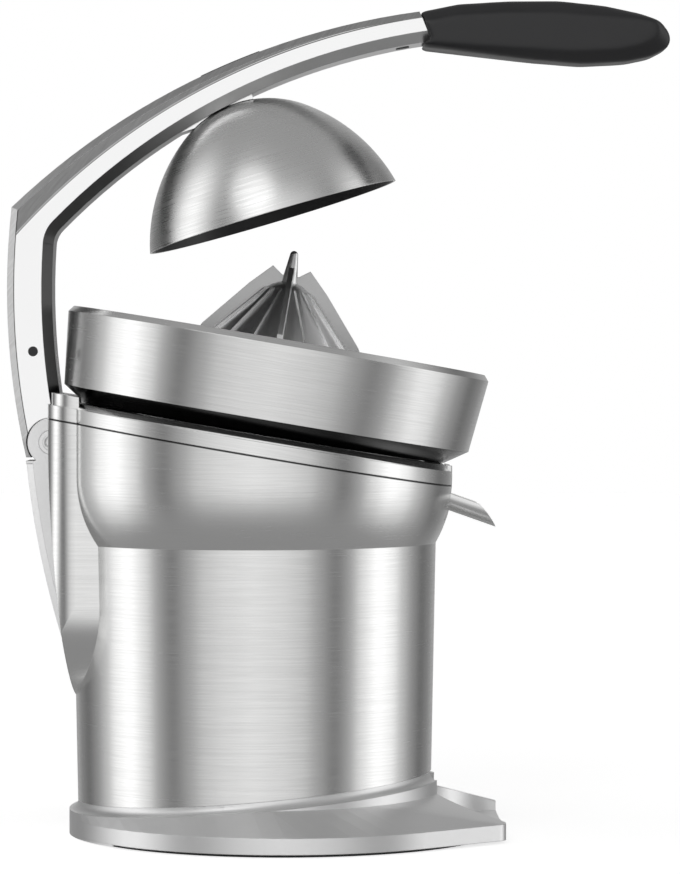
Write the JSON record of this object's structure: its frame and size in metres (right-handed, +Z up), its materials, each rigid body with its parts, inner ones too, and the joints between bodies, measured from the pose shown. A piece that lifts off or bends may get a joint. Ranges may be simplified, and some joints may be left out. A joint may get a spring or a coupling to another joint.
{
  "type": "lever citrus juice press",
  "caption": "Motorised citrus press: a lever arm lowers a dome over a turning reamer in a tilted bowl with a spout, on a round body and a toed base.",
  "frame": {"origin": "on the round body's axis, at the underside of the foot ring", "axes": "+X towards the spout and the hand grip, +Z up, +Y across"},
  "size_m": [0.3549, 0.232, 0.4453],
  "materials": {
    "brushed_steel": "brushed round the body",
    "satin_steel": "satin",
    "cast_metal": "satin",
    "polished_arm": "polished sides with brushed bevels",
    "polished_cone": "polished",
    "black_plastic": "matte",
    "rubber": "matte",
    "hardware": "plain",
    "brass": "plain",
    "motor_iron": "plain",
    "red_plastic": "glossy"
  },
  "bodies": {
    "press_body": {"base_casting": "cast_metal", "base_plate": "black_plastic", "foot_ring": "rubber", "base_screws": "hardware", "cord_gland": "rubber", "housing_shell": "brushed_steel", "trim_ring": "brushed_steel", "top_deck": "black_plastic", "arm_frame": "cast_metal", "frame_screws": "hardware", "link_pin": "hardware", "guide_pivot_pin": "hardware", "return_spring": "hardware", "gearbox_case": "black_plastic", "gearbox_cover": "black_plastic", "gearbox_screws": "hardware", "hub_bearings": "hardware", "shaft_seal": "rubber", "motor_can": "motor_iron", "motor_plate": "hardware", "motor_screws": "hardware", "switch_bracket": "hardware", "switch_body": "black_plastic", "juice_bowl": "brushed_steel", "bowl_spout": "brushed_steel", "strainer": "brushed_steel"},
    "link": {"lower_link": "cast_metal", "knee_washers": "hardware"},
    "guide": {"guide_link": "hardware"},
    "arm": {"arm_casting": "polished_arm", "arm_cover": "black_plastic", "knee_pin": "hardware", "guide_end_pin": "black_plastic", "hand_grip": "black_plastic", "grip_screw": "black_plastic", "press_dome": "satin_steel", "dome_liner": "black_plastic", "dome_screws": "hardware"},
    "hub": {"drive_hub": "brass", "drive_gear": "brass", "spindle_spring": "hardware"},
    "reamer": {"spindle": "hardware", "reamer_cone": "polished_cone"},
    "rotor": {"motor_rotor": "motor_iron", "pinion": "brass", "cooling_fan": "black_plastic"},
    "plunger": {"switch_plunger": "red_plastic"}
  },
  "joints": [
    {"name": "link_swing", "type": "hinge", "parent": "press_body", "child": "link", "pos_m": [-0.0905, 0, 0.098], "axis": [0, -1, 0], "range_deg": [0, 20.6], "stiffness_Nm_per_rad": 6, "springref_deg": -28.65, "deforming": ["return_spring"]},
    {"name": "knee_turn", "type": "hinge", "parent": "link", "child": "arm", "pos_m": [-0.10834, 0, 0.20938], "axis": [0, 1, 0], "range_deg": [0, 45.8]},
    {"name": "guide_turn", "type": "hinge", "parent": "press_body", "child": "guide", "pos_m": [-0.10324, 0, 0.22458], "axis": [0, -1, 0], "range_deg": [0, 33.4]},
    {"name": "hub_spin", "type": "hinge", "parent": "press_body", "child": "hub", "pos_m": [0.0046, 0, 0.21092], "axis": [0.1668, 0, 0.986], "continuous": true},
    {"name": "reamer_press", "type": "slide", "parent": "hub", "child": "reamer", "axis": [-0.1668, 0, -0.986], "range_m": [0, 0.002], "stiffness_N_per_m": 1500, "springref_m": -0.004, "deforming": ["spindle_spring"]},
    {"name": "rotor_spin", "type": "hinge", "parent": "press_body", "child": "rotor", "pos_m": [0.04897, 0, 0.20342], "axis": [0.1668, 0, 0.986], "continuous": true},
    {"name": "switch_press", "type": "slide", "parent": "press_body", "child": "plunger", "axis": [-0.1668, 0, -0.986], "range_m": [0, 0.002]}
  ],
  "couplings": [
    {"joint": "knee_turn", "follows": "link_swing", "ratio": 2.2233},
    {"joint": "guide_turn", "follows": "link_swing", "ratio": 1.62},
    {"joint": "rotor_spin", "follows": "hub_spin", "ratio": -5},
    {"joint": "switch_press", "follows": "reamer_press", "ratio": 1}
  ]
}
